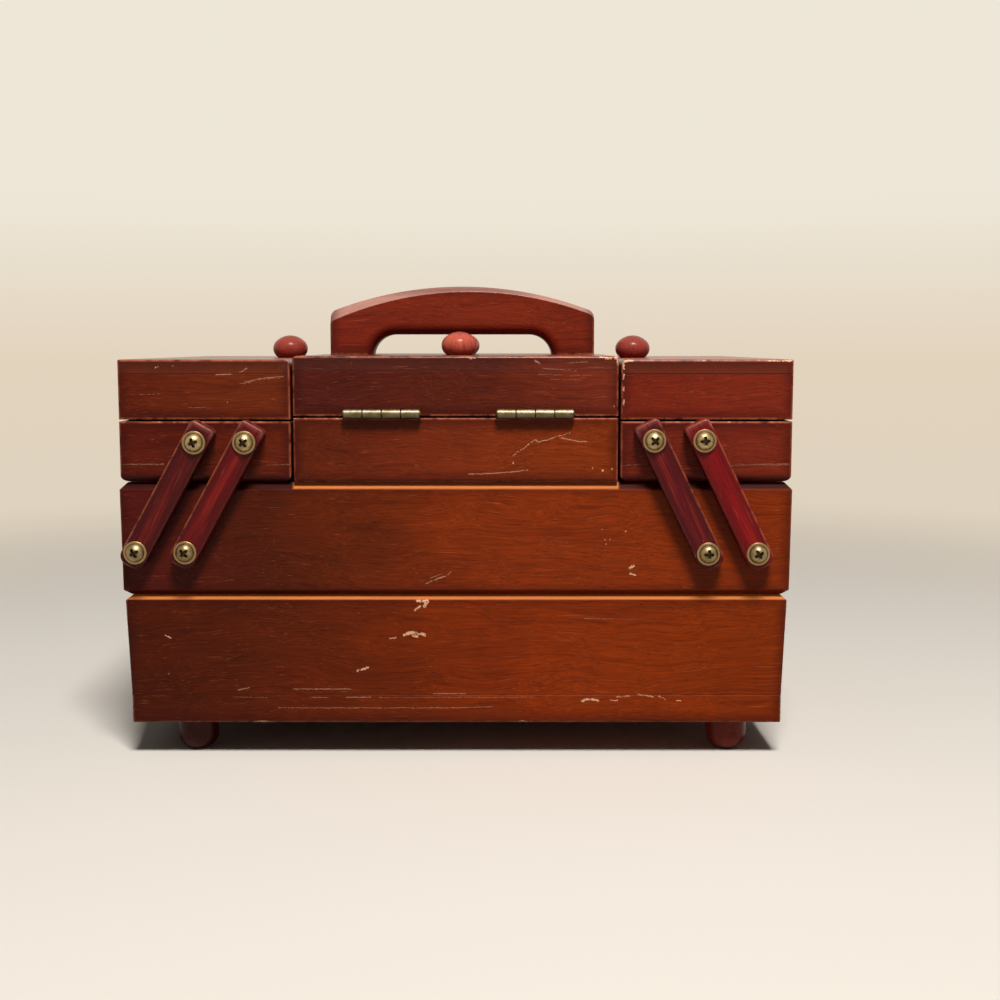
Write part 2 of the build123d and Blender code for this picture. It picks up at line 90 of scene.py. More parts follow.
class Amount:
    """A number that changes over a surface. Ordinary sums on it add Math nodes."""

    def __init__(self, finish, socket):
        self.finish = finish
        self.socket = socket

    def __add__(self, other):
        return self.finish.maths("ADD", self, other)

    def __sub__(self, other):
        return self.finish.maths("SUBTRACT", self, other)

    def __rsub__(self, other):
        return self.finish.maths("SUBTRACT", other, self)

    def __mul__(self, other):
        return self.finish.maths("MULTIPLY", self, other)

    def __truediv__(self, other):
        return self.finish.maths("DIVIDE", self, other)

    def __abs__(self):
        return self.finish.maths("ABSOLUTE", self)

    __radd__ = __add__
    __rmul__ = __mul__

    def least(self, other):
        return self.finish.maths("MINIMUM", self, other)

    def most(self, other):
        return self.finish.maths("MAXIMUM", self, other)

    def rise(self, low, high):
        """0 up to low, 1 from high, and a smooth step between; low may be the larger."""
        ends = {"From Min": low, "From Max": high}
        settings = {"interpolation_type": "SMOOTHSTEP"}
        node = self.finish.add("ShaderNodeMapRange", settings, {"Value": self, **ends})
        return Amount(self.finish, node.outputs["Result"])


class Finish:
    """One material. Its methods add nodes, and what they return feeds other nodes."""

    def __init__(self, name, **constants):
        self.material = bpy.data.materials.new(name)
        self.clear(self.material)
        self.shader = self.add("ShaderNodeBsdfPrincipled", {}, constants)
        seen = {"Surface": self.shader.outputs["BSDF"]}
        self.output = self.add("ShaderNodeOutputMaterial", {}, seen)
        spot = self.add("ShaderNodeTexCoord").outputs
        self.place = self.vector("MULTIPLY", spot["Object"], (1000, 1000, 1000))
        self.facing = spot["Normal"]

    def clear(self, owner):
        """Starts on the empty node tree of a material or a world."""
        owner.use_nodes = True
        self.tree = owner.node_tree
        self.nodes = self.tree.nodes
        self.nodes.clear()

    def link(self, key, value, node=None):
        """Feeds a socket, of the shader unless a node is given, with a value or another socket."""
        end = (node or self.shader).inputs[key]
        source = value.socket if isinstance(value, Amount) else value
        if isinstance(source, bpy.types.NodeSocket):
            self.tree.links.new(source, end)
        else:
            end.default_value = source

    def add(self, kind, settings=None, sockets=None):
        """Adds a node: its settings first, a ramp's stops among them, then its sockets."""
        node = self.nodes.new(kind)
        for name, value in (settings or {}).items():
            if name == "stops":
                set_stops(node.color_ramp, value)
            else:
                setattr(node, name, value)
        for key, value in (sockets or {}).items():
            self.link(key, value, node)
        return node

    def maths(self, operation, *values):
        node = self.add("ShaderNodeMath", {"operation": operation}, dict(enumerate(values)))
        return Amount(self, node.outputs[0])

    def vector(self, operation, *values):
        """A Vector Math node: gives its number for a dot product or a distance, else its vector."""
        node = self.add("ShaderNodeVectorMath", {"operation": operation}, dict(enumerate(values)))
        if operation in ("DOT_PRODUCT", "DISTANCE", "LENGTH"):
            return Amount(self, node.outputs["Value"])
        return node.outputs["Vector"]

    def scaled(self, colour, amount):
        """A colour made darker or brighter by a number."""
        node = self.add("ShaderNodeVectorMath", {"operation": "SCALE"}, {0: colour, "Scale": amount})
        return node.outputs["Vector"]

    def axes(self, place):
        """The three numbers of a place."""
        parts = self.add("ShaderNodeSeparateXYZ", {}, {0: place}).outputs
        return [Amount(self, part) for part in parts]

    def mix(self, share, first, second):
        """The first colour, turned into the second by a share from 0 to 1."""
        settings = {"data_type": "RGBA", "blend_type": "MIX", "clamp_factor": True}
        return self.add("ShaderNodeMix", settings, {0: share, 6: first, 7: second}).outputs[2]

    def paint(self, share, colour):
        """Lays a colour over what is there, by a share from 0 to 1."""
        self.colour = self.mix(share, self.colour, colour)

    def noise(self, place, fineness, detail=3.0, seed=0.0, rough=0.5):
        """Noise about 0.5. fineness is how many of its patches go in a millimetre, on each axis."""
        moved = self.vector("MULTIPLY_ADD", place, fineness, (seed, 1.7 * seed, -seed))
        sockets = {"Vector": moved, "Scale": 1.0, "Detail": detail, "Roughness": rough}
        return self.add("ShaderNodeTexNoise", {"noise_dimensions": "3D"}, sockets)

    def patches(self, place, fineness, **kind):
        return Amount(self, self.noise(place, fineness, **kind).outputs["Fac"])

    def ramp(self, amount, stops):
        """A colour along stops of (position, colour)."""
        return self.add("ShaderNodeValToRGB", {"stops": stops}, {0: amount}).outputs["Color"]

    def bump(self, height, distance):
        """Feeds the shader's Normal; height 1 stands distance millimetres proud."""
        sockets = {"Height": height, "Distance": distance / 1000, "Strength": 1.0}
        self.link("Normal", self.add("ShaderNodeBump", {}, sockets).outputs["Normal"])

    def cover(self, *nodes):
        """Puts this finish on CAD nodes."""
        for node in nodes:
            materials = frame["nodes"][node].data.materials
            materials.clear()
            materials.append(self.material)


def set_stops(ramp, stops):
    while len(ramp.elements) < len(stops):
        ramp.elements.new(1.0)
    for element, (position, colour) in zip(ramp.elements, stops):
        element.position = position
        element.color = colour


# Wood

BARE = tone(246, 168, 130)  # wood showing through the stain
RAW = tone(196, 148, 98)  # unstained wood inside the boxes
DARK_STREAK = tone(58, 14, 14)
PORE = tone(38, 10, 7)
RUBBED = tone(214, 128, 84)  # hair lines where the stain is thin
END_GRAIN = tone(82, 42, 22)
BEVEL_WEAR_AND_SHEEN = tone(194, 148, 134)
OPENING_PAINTED_SHADE = tone(110, 36, 36)
SEAM_DIRT = tone(52, 18, 14)
EDGE_GRIME_AND_SHADE = tone(48, 14, 15)  # grime along the edges, and painted shade there
WORN_EDGE_AND_HIGHLIGHT = tone(196, 108, 74)
GROOVE_PAINTED_SHADOW = tone(50, 18, 14)
GROOVE_ORANGE = tone(196, 112, 58)
THIN_ARM_STAIN = tone(140, 30, 28), tone(176, 58, 38)
ARM_END_WEAR_AND_HIGHLIGHT = tone(204, 116, 106)


class Wood(Finish):
    """Stained and varnished wood, laid on in the order in which it was made and worn.

    grain is the axis of the fibres, and seed picks their pattern. turned is (x, z, degrees) of
    an arm's own upright axes. rough and height are the surface as it stands so far.
    """

    def __init__(self, name, grain, seed, turned=None):
        varnish = {"Specular IOR Level": 0.1, "Coat Roughness": 0.22, "Coat IOR": 1.4}
        super().__init__(name, **varnish)
        self.grain, self.seed, self.turned = grain, seed, turned
        self.along = {"x": (1, 0, 0), "y": (0, 1, 0), "z": (0, 0, 1)}[grain]
        self.x, self.y, self.z = self.axes(self.place)
        self.faces = self.axes(self.facing)
        self.straight = self.arm_place(*turned) if turned else self.place

        # fibres that wander, from hair lines to broad streaks, and clouds in the stain
        bend = self.noise(self.straight, (0.018, 0.018, 0.03), detail=2, seed=seed + 3)
        bend = self.vector("SUBTRACT", bend.outputs["Color"], (0.5, 0.5, 0.5))
        sway = 2.5 if turned else 13
        sway = tuple(0 if step else sway for step in self.along)
        self.fibres = self.vector("MULTIPLY_ADD", bend, sway, self.straight)
        self.hair = self.lengthwise(15, 0.42, detail=3, seed=seed, rough=0.65)
        self.streak = self.lengthwise(60, 2.2, detail=4, seed=seed + 5, rough=0.6)
        self.broad = self.lengthwise(150, 9.0, detail=2, seed=seed + 11)
        self.cloud = self.patches(self.fibres, (0.045, 0.045, 0.07), detail=3, seed=seed + 17)
        self.pores = self.lengthwise(5.5, 0.17, detail=1, seed=seed + 23).rise(0.63, 0.72)
        self.rough = 0.19 + 0.12 * self.cloud + 0.1 * self.hair
        self.height = 0.5 * self.hair + 0.35 * self.streak - 0.35 * self.pores

    def arm_place(self, x, z, degrees):
        """Places along an arm's own axes, from its lower pivot."""
        settings = {"vector_type": "TEXTURE"}
        turn = (0, radians(degrees), 0)
        sockets = {"Vector": self.place, "Location": (x, 0, z), "Rotation": turn}
        return self.add("ShaderNodeMapping", settings, sockets).outputs[0]

    def lengthwise(self, length, width, **kind):
        """Patches of this length along the fibres and this width across them, in millimetres."""
        fineness = tuple(1 / (length if step else width) for step in self.along)
        return self.patches(self.fibres, fineness, **kind)

    def stain(self, stops):
        """Clouded stain along stops of (x, colour), with dark streaks, pores and thin hair lines."""
        first, last = stops[0][0], stops[-1][0]
        span = max(last - first, 1.0)
        # the stops' darkening towards the left end is partly the stain and partly painted shade
        across = (self.x + (self.cloud - 0.5) * 46 + (self.broad - 0.5) * 18 - first) / span
        colour = self.ramp(across, [((at - first) / span, colour) for at, colour in stops])
        shade = -0.07 + 1.45 * self.hair + 0.42 * self.streak + 0.26 * self.cloud
        self.colour = self.scaled(colour, shade)
        self.paint(self.streak.rise(0.44, 0.32) * 0.16, DARK_STREAK)
        self.paint(self.pores * 0.45, PORE)
        thin = self.lengthwise(22, 0.3, detail=2, seed=self.seed + 31, rough=0.7)
        self.paint(thin.rise(0.62, 0.76) * 0.24, RUBBED)

    def darken_ends(self, share):
        """End grain takes more stain, in patches."""
        ends = abs(self.faces["xyz".index(self.grain)]).rise(0.8, 0.95)
        self.paint(ends * self.streak.rise(0.3, 0.66) * share, END_GRAIN)

    def paint_handle_wear_and_light(self):
        """The handle is pale on its bevel, which faces up and out: partly worn, partly a painted
        sheen. In its opening, on the faces that look down and inwards, it is darker with painted
        shade.
        """
        outwards = abs(self.faces[1])
        bevel = self.faces[2].rise(0.22, 0.42) * outwards.rise(0.2, 0.4)
        # the bevel's pale colour is partly wear and partly a painted sheen
        self.paint(bevel * (0.36 + 0.5 * self.hair), BEVEL_WEAR_AND_SHEEN)
        # the opening's purplish dark is painted shade
        opening = outwards.rise(0.985, 0.8) * self.faces[2].rise(0.2, 0.0)
        self.paint(opening * abs(self.x).rise(40.0, 37.0) * 0.6, OPENING_PAINTED_SHADE)

    def fill_seam(self, level, share):
        """Dirt in the joint at a level."""
        dirt = abs(self.z - level).rise(0.4, 0.1) * share
        self.paint(dirt, SEAM_DIRT)
        self.rough = self.rough + 0.6 * dirt

    def measure(self, low, high):
        """Takes the distances inwards from a board's faces, between two of its corners.

        inset is from the nearest of its four upright faces. The second smallest of the three
        axes' distances is edge, the distance to the board's nearest edge.
        """
        self.parts = self.axes(self.straight) if self.turned else (self.x, self.y, self.z)
        near = [(part - a).least(b - part) for part, a, b in zip(self.parts, low, high)]
        self.inset = near[0].least(near[1])
        self.edge = self.inset.most(near[2].least(near[0].most(near[1])))

    def thin_arm(self):
        """An arm's stain is thin along its middle, and its upper end is pale: partly rubbed off,
        partly a painted highlight.
        """
        middle = abs(self.parts[0]).rise(3.2, 0.4) * self.streak.rise(0.44, 0.62)
        thin = self.mix(self.hair.rise(0.4, 0.62), *THIN_ARM_STAIN)
        self.paint(middle * 0.32, thin)
        # the pale upper end is partly wear and partly a painted highlight
        end = self.parts[2].rise(41.5, 44.6) * self.edge.rise(2.0, 0.2)
        self.paint(end * self.hair.rise(0.3, 0.5) * 0.6, ARM_END_WEAR_AND_HIGHLIGHT)

    def wear_edges_and_paint_light(self, wear):
        """Edges that are dark, then rubbed, then bare in ragged spots, the more with wear."""
        # darker towards the edges, up to 5 mm in: partly grime, partly painted shade
        self.paint(self.edge.rise(5.0, 0.0) * 0.58, EDGE_GRIME_AND_SHADE)
        seed = self.seed + 41
        ragged = self.patches(self.straight, (0.33, 0.33, 0.33), detail=4, seed=seed, rough=0.7)
        soft = self.edge.rise(0.9, 0.1) * ragged.rise(0.3, 0.6)
        if self.turned:
            # an arm's worn edge is paler along the side that faces up, a painted highlight where the
            # light catches it
            lit = self.parts[0] * (-1.0 if self.turned[2] > 0 else 1.0)
            soft = soft * (0.2 + 0.9 * lit.rise(-1.0, 1.0))
        self.paint(soft * (0.7 * wear + 0.15), WORN_EDGE_AND_HIGHLIGHT)
        bare = self.edge * 1.6 + (1 - ragged) * 3.2
        bare = bare.rise(1.5 + 0.3 * wear, 1.14 + 0.3 * wear)
        self.paint(bare * (0.3 + 0.6 * wear), BARE)
        self.rough = self.rough + 0.2 * bare
        self.height = self.height - 0.6 * bare

    def leave_raw(self, wall, inner):
        """No stain behind walls of this thickness; inner is 1 or -1 for upper or lower faces only."""
        raw = self.inset.rise(wall - 0.35, wall - 0.05)
        if inner:
            raw = raw * (self.faces[2] * inner).rise(0.3, 0.6)
        shade = 0.62 + 0.36 * self.streak + 0.3 * self.hair + 0.1 * self.cloud
        self.paint(raw, self.scaled(RAW[:3], shade))
        self.rough = self.rough + 0.18 * raw

    def rub_groove(self, low, high, reach):
        """A cut back edge, rubbed to orange as far as reach from the middle, and dark beyond with a
        painted shadow, where the trays stand over it.
        """
        cut = self.inset.rise(0.12, 0.7) * self.z.rise(low - 0.2, low + 0.2)
        cut = cut * self.z.rise(high + 0.2, high - 0.2) * self.inset.rise(5.0, 3.5)
        # past reach the groove is painted dark, a painted shadow under the trays
        beyond = abs(self.x).rise(reach + 0.4, reach - 0.6)
        rubbed = self.mix(beyond, GROOVE_PAINTED_SHADOW, GROOVE_ORANGE)
        self.paint(cut * (0.9 + 0.5 * (self.streak - 0.5)), rubbed)
        self.rough = self.rough + 0.1 * cut

    def outside(self, place, marks):
        """How far each point is outside the marks, in millimetres; below 0 is on a mark.

        A mark is a half width and points (x, z) on the front face. The nearest point of each
        of its stretches is its start plus its run times the share t, where t is the dot
        product of the point with the run, over the run's square, held between 0 and 1.
        """
        least = None
        for half_width, *points in marks:
            for (x0, z0), (x1, z1) in zip(points, points[1:] or points):
                run = np.array((x1 - x0 or 0.01, 0.0, z1 - z0))
                start = np.array((x0, FRONT, z0))
                scaled = run / (run @ run)
                share = self.vector("DOT_PRODUCT", place, tuple(scaled))
                share = (share - float(start @ scaled)).most(0.0).least(1.0)
                nearest = self.vector("MULTIPLY_ADD", tuple(run), share, tuple(start))
                distance = self.vector("DISTANCE", place, nearest) - half_width
                least = distance if least is None else least.least(distance)
        return least

    def scratch(self, marks, strength, shake):
        """Marks down to the bare wood, their outlines shaken by this many millimetres."""
        seed = self.seed + 53
        noise = self.noise(self.place, (0.9, 0.9, 0.9), detail=3, seed=seed, rough=0.7)
        moved = self.vector("SUBTRACT", noise.outputs["Color"], (0.5, 0.5, 0.5))
        moved = self.vector("MULTIPLY_ADD", moved, (3 * shake,) * 3, self.place)
        mark = self.outside(moved, marks).rise(0.1, -0.06)
        gaps = self.patches(self.fibres, (1.4, 1.4, 2.6), detail=2, seed=self.seed + 59)
        mark = mark * gaps.rise(0.3, 0.48)
        self.paint(mark * strength, BARE)
        self.rough = self.rough + 0.2 * mark
        self.height = self.height - mark

    def varnish(self, gloss):
        """Feeds the shader, with a coat where there is gloss."""
        self.link("Base Color", self.colour)
        self.link("Roughness", self.rough)
        if gloss:
            self.link("Coat Weight", gloss)
        self.bump(self.height, 0.07)


def wood(
    name,
    nodes,
    stain,
    grain="x",
    wear=0.5,
    marks=(),
    faint=(),
    low=None,
    high=None,
    wall=None,
    inner=None,
    grooves=(),
    seed=1.0,
    turned=None,
    gloss=0.0,
    seam=None,
    end_grain=0.7,
    grip=False,
):
    """Stained and varnished wood on some nodes.

    stain is (x, colour) stops along the carrier; where they darken towards the left end, that
    is partly the stain and partly painted shade. grain is the axis of the fibres. low and high
    are the corners of the board, whose edges are worn, and darkened by grime and painted shade.
    wall is the boards' thickness behind which the wood is raw; inner is 1 or -1 where only its
    upper or lower side is. grooves are (low, high, reach) of cut back edges, with a painted
    shadow past reach. turned is (x, z, degrees) of an arm's own upright axes. seam is (level,
    share) of a joint that dirt has filled, and end_grain how dark the fibres' ends are. grip
    is for the handle, with its worn and sheen-painted bevel and the painted shade in its opening.
    """
    finish = Wood(name, grain, seed, turned)
    finish.stain(stain)
    if not turned:
        finish.darken_ends(end_grain)
    if grip:
        finish.paint_handle_wear_and_light()
    if seam:
        finish.fill_seam(*seam)
    if low is not None:
        finish.measure(low, high)
        if turned:
            finish.thin_arm()
        finish.wear_edges_and_paint_light(wear)
        if wall:
            finish.leave_raw(wall, inner)
        for groove in grooves:
            finish.rub_groove(*groove)
    if marks:
        finish.scratch(marks, strength=0.95, shake=0.5)
    if faint:
        finish.scratch(faint, strength=0.4, shake=0.25)
    finish.varnish(gloss)
    finish.cover(*nodes)


def corners(*nodes):
    """The lowest and highest corner over some nodes, in millimetres."""
    lows, highs = zip(*(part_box(node) for node in nodes))
    low = [1000 * min(corner[axis] for corner in lows) for axis in range(3)]
    high = [1000 * max(corner[axis] for corner in highs) for axis in range(3)]
    return low, high


# the stain along each tier, from left to right; its darkening towards the left end is partly the stain
# and partly painted shade
BASE_STAIN_AND_SHADE = [
    (-105, tone(70, 25, 13)),
    (-70, tone(82, 30, 14)),
    (-30, tone(98, 36, 14)),
    (25, tone(127, 46, 15)),
    (75, tone(129, 48, 14)),
    (105, tone(122, 45, 13)),
]
MIDDLE_STAIN_AND_SHADE = [
    (-106, tone(82, 25, 22)),
    (-62, tone(76, 29, 16)),
    (-28, tone(94, 36, 16)),
    (22, tone(128, 48, 18)),
    (80, tone(124, 46, 17)),
]
TOWER_STAIN_AND_SHADE = [(-51, tone(90, 34, 19)), (0, tone(113, 43, 22)), (48, tone(127, 50, 19))]
CENTRE_LID_STAIN_AND_SHADE = [(-51, tone(77, 29, 23)), (5, tone(86, 33, 22)), (50, tone(118, 45, 28))]
LEFT_LID_STAIN_AND_SHADE = [(-106, tone(92, 33, 19)), (-75, tone(104, 41, 20)), (-52, tone(106, 43, 21))]
LEFT_TRAY_STAIN_AND_SHADE = [(-106, tone(84, 27, 19)), (-52, tone(94, 34, 19))]
RIGHT_LID_STAIN_AND_SHADE = [(52, tone(112, 37, 23)), (106, tone(120, 41, 25))]
RIGHT_TRAY_STAIN_AND_SHADE = [(52, tone(106, 36, 25)), (106, tone(114, 40, 25))]
HANDLE_STAIN = [(-47, tone(112, 35, 22)), (0, tone(118, 40, 23)), (47, tone(112, 37, 20))]
FOOT_STAIN_AND_SHADE = [(-60, tone(64, 22, 18)), (60, tone(112, 40, 26))]

# Marks on the front, as half widths and points (x, z) in millimetres
SEAM_MARKS = [  # across the seam of the base's front and bottom boards
    (0.3, (40.3, 18.2), (42.5, 18.8), (45.4, 18.3)),
    (0.16, (49.6, 18.3), (51.7, 18.5)),
    (0.14, (51.4, 19.5), (55.4, 19.8)),
    (0.16, (58.4, 20.3), (63.2, 19.5)),
    (0.16, (65.0, 19.8), (67.2, 18.7)),
    (0.15, (70.7, 18.4), (72.0, 18.3)),
]
BASE_MARKS = SEAM_MARKS + [
    (0.5, (-12.2, 50.9), (-9.2, 50.7), (-10.2, 49.0)),
    (0.3, (-11.4, 49.2), (-13.1, 47.8)),
    (0.45, (-16.6, 39.8), (-14.4, 40.5), (-10.2, 39.8)),
    (0.25, (-14.0, 39.4), (-12.4, 39.2)),
    (0.15, (-21.2, 38.6), (-19.4, 38.9)),
    (0.3, (-31.8, 28.0), (-30.2, 28.4), (-28.4, 29.2)),
    (0.18, (-93.0, 39.6), (-91.2, 38.9)),
    (0.2, (-92.4, 27.1)),
]
BASE_FAINT = [
    (0.16, (-70.2, 21.8), (-66.5, 22.5)),
    (0.05, (41.0, 45.1), (51.0, 44.9)),
    (0.12, (-52.3, 22.1), (-34.1, 22.1)),
    (0.12, (-7.4, 20.6), (3.0, 20.6)),
]
FLOOR_FAINT = [
    (0.04, (-72.0, 19.4), (-61.0, 19.3)),
    (0.07, (-47.0, 19.4), (-41.0, 19.3)),
    (0.1, (-35.5, 19.4), (-27.5, 19.4)),
    (0.04, (-25.0, 19.3), (25.3, 19.4)),
    (0.08, (-57.4, 15.9), (-0.3, 15.9), (11.6, 16.3)),
]
FLOOR_MARKS = SEAM_MARKS + [(0.25, (-65.0, 11.2), (-58.9, 11.2)), (0.2, (20.4, 11.4), (24.1, 11.2))]
MIDDLE_MARKS = [
    (0.22, (46.4, 73.6)),
    (0.24, (47.5, 70.6)),
    (0.2, (48.8, 70.6)),
    (0.2, (47.7, 69.1)),
    (0.22, (53.7, 73.1)),
    (0.35, (55.2, 61.3), (56.4, 62.0)),
    (0.28, (55.4, 59.5), (56.8, 59.2)),
]
MIDDLE_FAINT = [
    (0.0, (25.1, 70.4), (29.3, 70.0), (36.3, 69.5)),
    (0.14, (-9.6, 56.4), (-7.4, 57.3)),
    (0.22, (-6.6, 57.6), (-3.6, 58.8)),
    (0.12, (-2.7, 59.2), (-1.7, 60.0)),
    (0.08, (-8.3, 58.1), (-4.6, 59.5)),
    (0.2, (-93.9, 53.7), (-91.2, 53.6)),
    # the next line is a painted glint along the top edge at the far left, laid on as a faint bare mark
    (0.2, (-104.5, 88.0), (-97.0, 88.1)),
    (0.15, (97.5, 88.0), (104.0, 88.1)),
]
TOWER_MARKS = [
    (0.1, (18.2, 97.3), (21.1, 99.3), (25.0, 102.2), (26.0, 101.4), (30.0, 102.6), (36.3, 104.6)),
    (0.2, (18.1, 94.8)),
    (0.4, (46.3, 92.5)),
    (0.2, (43.3, 93.1)),
    (0.2, (49.3, 92.9)),
]
TOWER_FAINT = [
    (0.14, (4.1, 91.3), (9.8, 91.5), (17.4, 92.0), (22.7, 92.7)),
    (0.16, (33.3, 102.8), (39.3, 101.6), (41.3, 101.7)),
]
CENTRE_LID_MARKS = [
    (0.2, (-21.0, 114.2)),
    (0.2, (49.8, 112.8)),
    (0.3, (45.4, 128.0), (48.6, 127.7)),
    (0.4, (50.0, 128.1), (50.9, 127.2), (51.0, 126.0)),
    (0.2, (4.6, 127.7), (6.2, 127.8)),
]
CENTRE_LID_FAINT = [
    (0.25, (24.9, 127.0), (26.3, 126.2)),
    (0.06, (34.9, 126.2), (41.4, 126.6)),
    (0.08, (27.7, 124.5), (37.8, 123.9)),
    (0.04, (26.0, 122.8), (33.0, 122.5)),
    (0.04, (36.0, 122.3), (43.0, 122.5)),
    (0.03, (30.0, 121.2), (39.5, 121.0)),
    (0.03, (41.0, 124.9), (46.5, 124.8)),
]
LEFT_LID_MARKS = [
    (0.04, (-68.1, 119.8), (-64.7, 120.0), (-62.7, 121.1), (-55.1, 121.4)),
    (0.18, (-93.9, 124.7), (-93.1, 125.1)),
    (0.18, (-88.5, 125.4)),
    (0.2, (-71.6, 114.0)),
]
LEFT_LID_FAINT = [
    (0.15, (-67.5, 123.3), (-65.3, 124.5)),
    (0.14, (-74.9, 122.6), (-69.9, 122.9)),
    (0.12, (-66.0, 120.3), (-60.0, 121.6), (-54.0, 122.0)),
    (0.04, (-99.0, 116.4), (-92.0, 116.6)),
    (0.04, (-84.0, 112.2), (-77.0, 112.5)),
]
RIGHT_LID_MARKS = [
    (0.35, (97.0, 127.1), (105.0, 127.0)),
    (0.45, (53.0, 126.9), (55.6, 127.3)),
    (0.3, (52.5, 126.2), (52.7, 124.6)),
    (0.25, (74.0, 127.3), (79.0, 127.2)),
    (0.2, (52.7, 122.6), (52.6, 121.2)),
    (0.22, (52.6, 118.7), (52.7, 117.6)),
    (0.18, (52.8, 114.6), (52.7, 113.2)),
]
LEFT_TRAY_FAINT = [
    (0.13, (-105.0, 94.4), (-92.0, 94.5)),
    (0.13, (-60.0, 94.2), (-52.5, 94.4)),
    (0.06, (-67.0, 92.6), (-55.0, 92.9)),
    (0.04, (-71.0, 90.6), (-57.0, 90.7)),
]
RIGHT_TRAY_FAINT = [(0.13, (87.0, 94.3), (105.0, 94.5)), (0.1, (54.0, 94.3), (60.0, 94.2))]


def carcass_wood():
    """The base, the middle tier, the tower and the rail under the handle."""
    low, high = corners("base_bottom_board")
    high[2] += UNSEEN
    wood(
        "base_bottom_wood",
        ["base_bottom_board"],
        BASE_STAIN_AND_SHADE,
        marks=FLOOR_MARKS,
        faint=FLOOR_FAINT,
        low=low,
        high=high,
        wall=CARCASS_WALL,
        inner=1,
        seed=3,
    )
    base = {"marks": BASE_MARKS, "faint": BASE_FAINT, "grooves": [BASE_GROOVE]}
    tier_boards("base", BASE_STAIN_AND_SHADE, 7, hidden=UNSEEN, **base)
    middle = {"marks": MIDDLE_MARKS, "faint": MIDDLE_FAINT, "grooves": [MIDDLE_GROOVE]}
    tier_boards("middle", MIDDLE_STAIN_AND_SHADE, 211, **middle)
    tier_boards("tower", TOWER_STAIN_AND_SHADE, 413, marks=TOWER_MARKS, faint=TOWER_FAINT)
    low, high = corners("handle_bridge")
    wood("rail_wood", ["handle_bridge"], CENTRE_LID_STAIN_AND_SHADE, wear=0.4, low=low, high=high, seed=617)


def tier_boards(tier, stain, seed, hidden=0.0, **kind):
    """The four boards of a tier: fibres along X in front and behind, along Y at the ends.

    hidden lowers the worn lower edge out of sight, where a board stands on another.
    """
    front, back, ends = [f"{tier}_{part}" for part in ("front_board", "back_board", "end_boards")]
    low, high = corners(front, back, ends)
    low[2] -= hidden
    place = {"low": low, "high": high, "wall": CARCASS_WALL, "wear": 0.55, **kind}
    wood(f"{tier}_front_wood", [front], stain, "x", seed=seed, **place)
    place["marks"] = place["faint"] = ()
    wood(f"{tier}_back_wood", [back], stain, "x", seed=seed + 60, **place)
    wood(f"{tier}_end_wood", [ends], stain, "y", seed=seed + 120, **place)


def tray_wood():
    """The boards of the two trays."""
    trays = {"left": (LEFT_TRAY_STAIN_AND_SHADE, LEFT_TRAY_FAINT), "right": (RIGHT_TRAY_STAIN_AND_SHADE, RIGHT_TRAY_FAINT)}
    for number, (side, (stain, faint)) in enumerate(trays.items()):
        tray = [f"{side}_tray_{part}_board" for part in ("front", "back", "inner", "outer")]
        low, high = corners(*tray)
        low[2] -= UNSEEN
        place = {"low": low, "high": high, "wall": TRAY_WALL, "wear": 0.6}
        seed = 811 + 97 * number
        wood(f"{side}_tray_front_wood", tray[:1], stain, "x", faint=faint, seed=seed, **place)
        wood(f"{side}_tray_back_wood", tray[1:2], stain, "x", seed=seed + 9, **place)
        wood(f"{side}_tray_end_wood", tray[2:], stain, "y", seed=seed + 21, **place)
        bottom = f"{side}_tray_bottom_board"
        low, high = corners(bottom)
        high[2] += UNSEEN
        place = {"low": low, "high": high, "wall": TRAY_WALL, "inner": 1}
        wood(f"{side}_tray_bottom_wood", [bottom], stain, "x", seed=seed + 33, **place)


def lid_wood():
    """The panel and the rim of each of the four lids."""
    lids = {
        # stain, marks, faint marks, wear, share of dirt in the seam, how dark the end grain is
        "left": (LEFT_LID_STAIN_AND_SHADE, LEFT_LID_MARKS, LEFT_LID_FAINT, 0.65, 0.2, 0.15),
        "right": (RIGHT_LID_STAIN_AND_SHADE, RIGHT_LID_MARKS, (), 0.75, 0.5, 0.7),
        "front": (CENTRE_LID_STAIN_AND_SHADE, CENTRE_LID_MARKS, CENTRE_LID_FAINT, 0.65, 0.3, 0.3),
        "back": (CENTRE_LID_STAIN_AND_SHADE, (), (), 0.65, 0.3, 0.3),
    }
    for number, (face, (stain, marks, faint, wear, dirt, ends)) in enumerate(lids.items()):
        panel, rim = f"{face}_lid_panel", f"{face}_lid_rim_boards"
        low, high = corners(panel, rim)
        level = corners(panel)[0][2]
        seed = 1301 + 83 * number
        place = {"low": low, "high": high, "wear": wear, "wall": TRAY_WALL}
        worn = {"marks": marks, "faint": faint, "seam": (level, dirt), "end_grain": ends}
        wood(f"{face}_lid_rim_wood", [rim], stain, "x", seed=seed, **place, **worn)
        grain = "y" if face in ("left", "right") else "x"
        raw = {"inner": -1, "seed": seed + 7, "gloss": 0.3}
        wood(f"{face}_lid_panel_wood", [panel], stain, grain, **raw, **place, **worn)


def handle_wood():
    """The handle, with its pale bevel."""
    low, high = corners("handle")
    place = {"low": low, "high": high, "wear": 0.35}
    wood("handle_wood", ["handle"], HANDLE_STAIN, seed=1709, gloss=0.12, grip=True, **place)


def lower_pivots(side):
    """(x, z) of the lower pivots of the inner and the outer arms on a side."""
    places = {}
    for arm, joint in (("inner", "front_inner_arm_pivot"), ("outer", "tray_swing")):
        x, _, z = JOINTS[f"{side}_{joint}"]
        places[arm] = (x, z)
    return places


